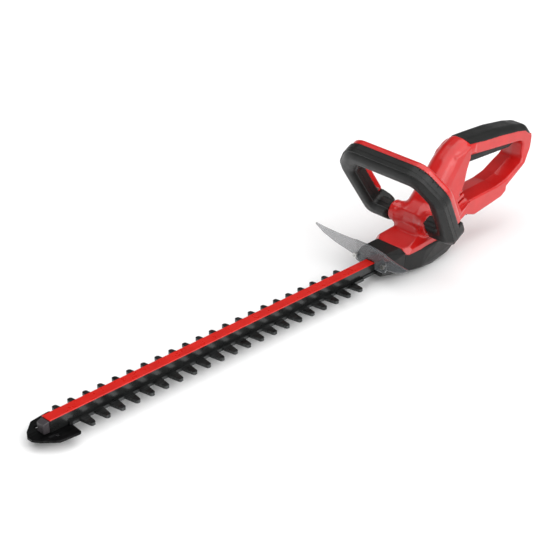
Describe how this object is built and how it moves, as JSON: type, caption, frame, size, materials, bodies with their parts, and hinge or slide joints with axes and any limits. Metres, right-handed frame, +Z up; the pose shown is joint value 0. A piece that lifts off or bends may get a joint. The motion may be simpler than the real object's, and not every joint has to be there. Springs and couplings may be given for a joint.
{
  "type": "hedge trimmer",
  "caption": "Cordless hedge trimmer with a long double-sided toothed bar, clear hand guard, looped front handle with a switch lever, and a closed rear handle with a trigger.",
  "frame": {"origin": "bottom centre of the bounding box, level with the belly of the gear case", "axes": "+X along the bar to the tip, +Y to the user's left, +Z up"},
  "size_m": [0.8653, 0.1808, 0.1749],
  "materials": {
    "red_plastic": "satin moulded red plastic",
    "red_paint": "satin red powder coat",
    "black_plastic": "fine grained black plastic",
    "soft_grip": "soft black over-moulding",
    "clear_guard": "smoked clear sheet",
    "blade_steel": "oiled dark ground steel",
    "black_steel": "gloss black painted steel",
    "grey_cap": "dark grey plastic",
    "zinc": "zinc plated",
    "gear_steel": "hardened gear steel",
    "cast_metal": "die cast",
    "bronze": "sintered bronze",
    "copper": "copper",
    "magnet": "ferrite",
    "board_green": "circuit board",
    "felt": "oiled felt"
  },
  "bodies": {
    "housing": {"housing_left": "red_plastic", "housing_right": "red_plastic", "rear_grip": "soft_grip", "housing_screws": "zinc", "gear_case": "black_plastic", "gear_plate": "cast_metal", "gear_case_screws": "zinc", "axle_bearings": "bronze", "blade_rail": "black_steel", "rail_cover": "red_paint", "rail_end_cap": "grey_cap", "tip_plate": "black_steel", "blade_washers": "zinc", "rail_nuts": "zinc", "blade_bolts": "zinc", "tip_bolts": "zinc", "blade_nose": "black_plastic", "felt_seal": "felt", "hand_guard": "clear_guard", "guard_screws": "zinc", "motor_can": "gear_steel", "motor_bushes": "bronze", "motor_brushes": "magnet", "motor_magnets": "magnet", "loop_front_half": "black_plastic", "loop_rear_half": "black_plastic", "lever_pins": "zinc", "lever_springs": "zinc", "loop_screws": "zinc", "lever_switch": "black_plastic", "loop_tenons": "black_plastic", "trigger_pin": "zinc", "trigger_spring": "zinc", "switch_module": "black_plastic", "control_board": "board_green", "battery_seat": "black_plastic", "battery_contacts": "copper"},
    "upper_blade": {"upper_blade": "blade_steel"},
    "lower_blade": {"lower_blade": "blade_steel"},
    "drive_gear": {"drive_gear": "gear_steel", "gear_axle": "gear_steel", "upper_eccentric": "gear_steel", "lower_eccentric": "gear_steel"},
    "rotor": {"motor_shaft": "gear_steel", "armature": "copper", "commutator": "copper", "cooling_fan": "black_plastic", "pinion": "gear_steel"},
    "rear_trigger": {"rear_trigger": "black_plastic"},
    "front_lever": {"front_switch_lever": "red_plastic"}
  },
  "joints": [
    {"name": "gear_spin", "type": "hinge", "parent": "housing", "child": "drive_gear", "pos_m": [-0.214, 0, 0.02], "axis": [0, 0, 1], "range_deg": [-90, 90]},
    {"name": "rotor_spin", "type": "hinge", "parent": "housing", "child": "rotor", "pos_m": [-0.24335, 0, 0.02], "axis": [0, 0, 1], "range_deg": [-432, 432]},
    {"name": "upper_blade_slide", "type": "slide", "parent": "housing", "child": "upper_blade", "axis": [1, 0, 0], "range_m": [-0.0055, 0.0055]},
    {"name": "lower_blade_slide", "type": "slide", "parent": "housing", "child": "lower_blade", "axis": [1, 0, 0], "range_m": [-0.0055, 0.0055]},
    {"name": "rear_trigger_press", "type": "hinge", "parent": "housing", "child": "rear_trigger", "pos_m": [-0.41, 0, 0.127], "axis": [0, -1, 0], "range_deg": [0, 3], "stiffness_Nm_per_rad": 2, "springref_deg": -4.58},
    {"name": "front_lever_press", "type": "hinge", "parent": "housing", "child": "front_lever", "pos_m": [-0.19715, 0, 0.09254], "axis": [0, 1, 0], "range_deg": [0, 3], "stiffness_Nm_per_rad": 3, "springref_deg": -4.58}
  ],
  "couplings": [
    {"joint": "rotor_spin", "follows": "gear_spin", "ratio": -4.8},
    {"joint": "upper_blade_slide", "follows": "gear_spin", "m_per_rad": -0.0035014},
    {"joint": "lower_blade_slide", "follows": "gear_spin", "m_per_rad": 0.0035014}
  ]
}
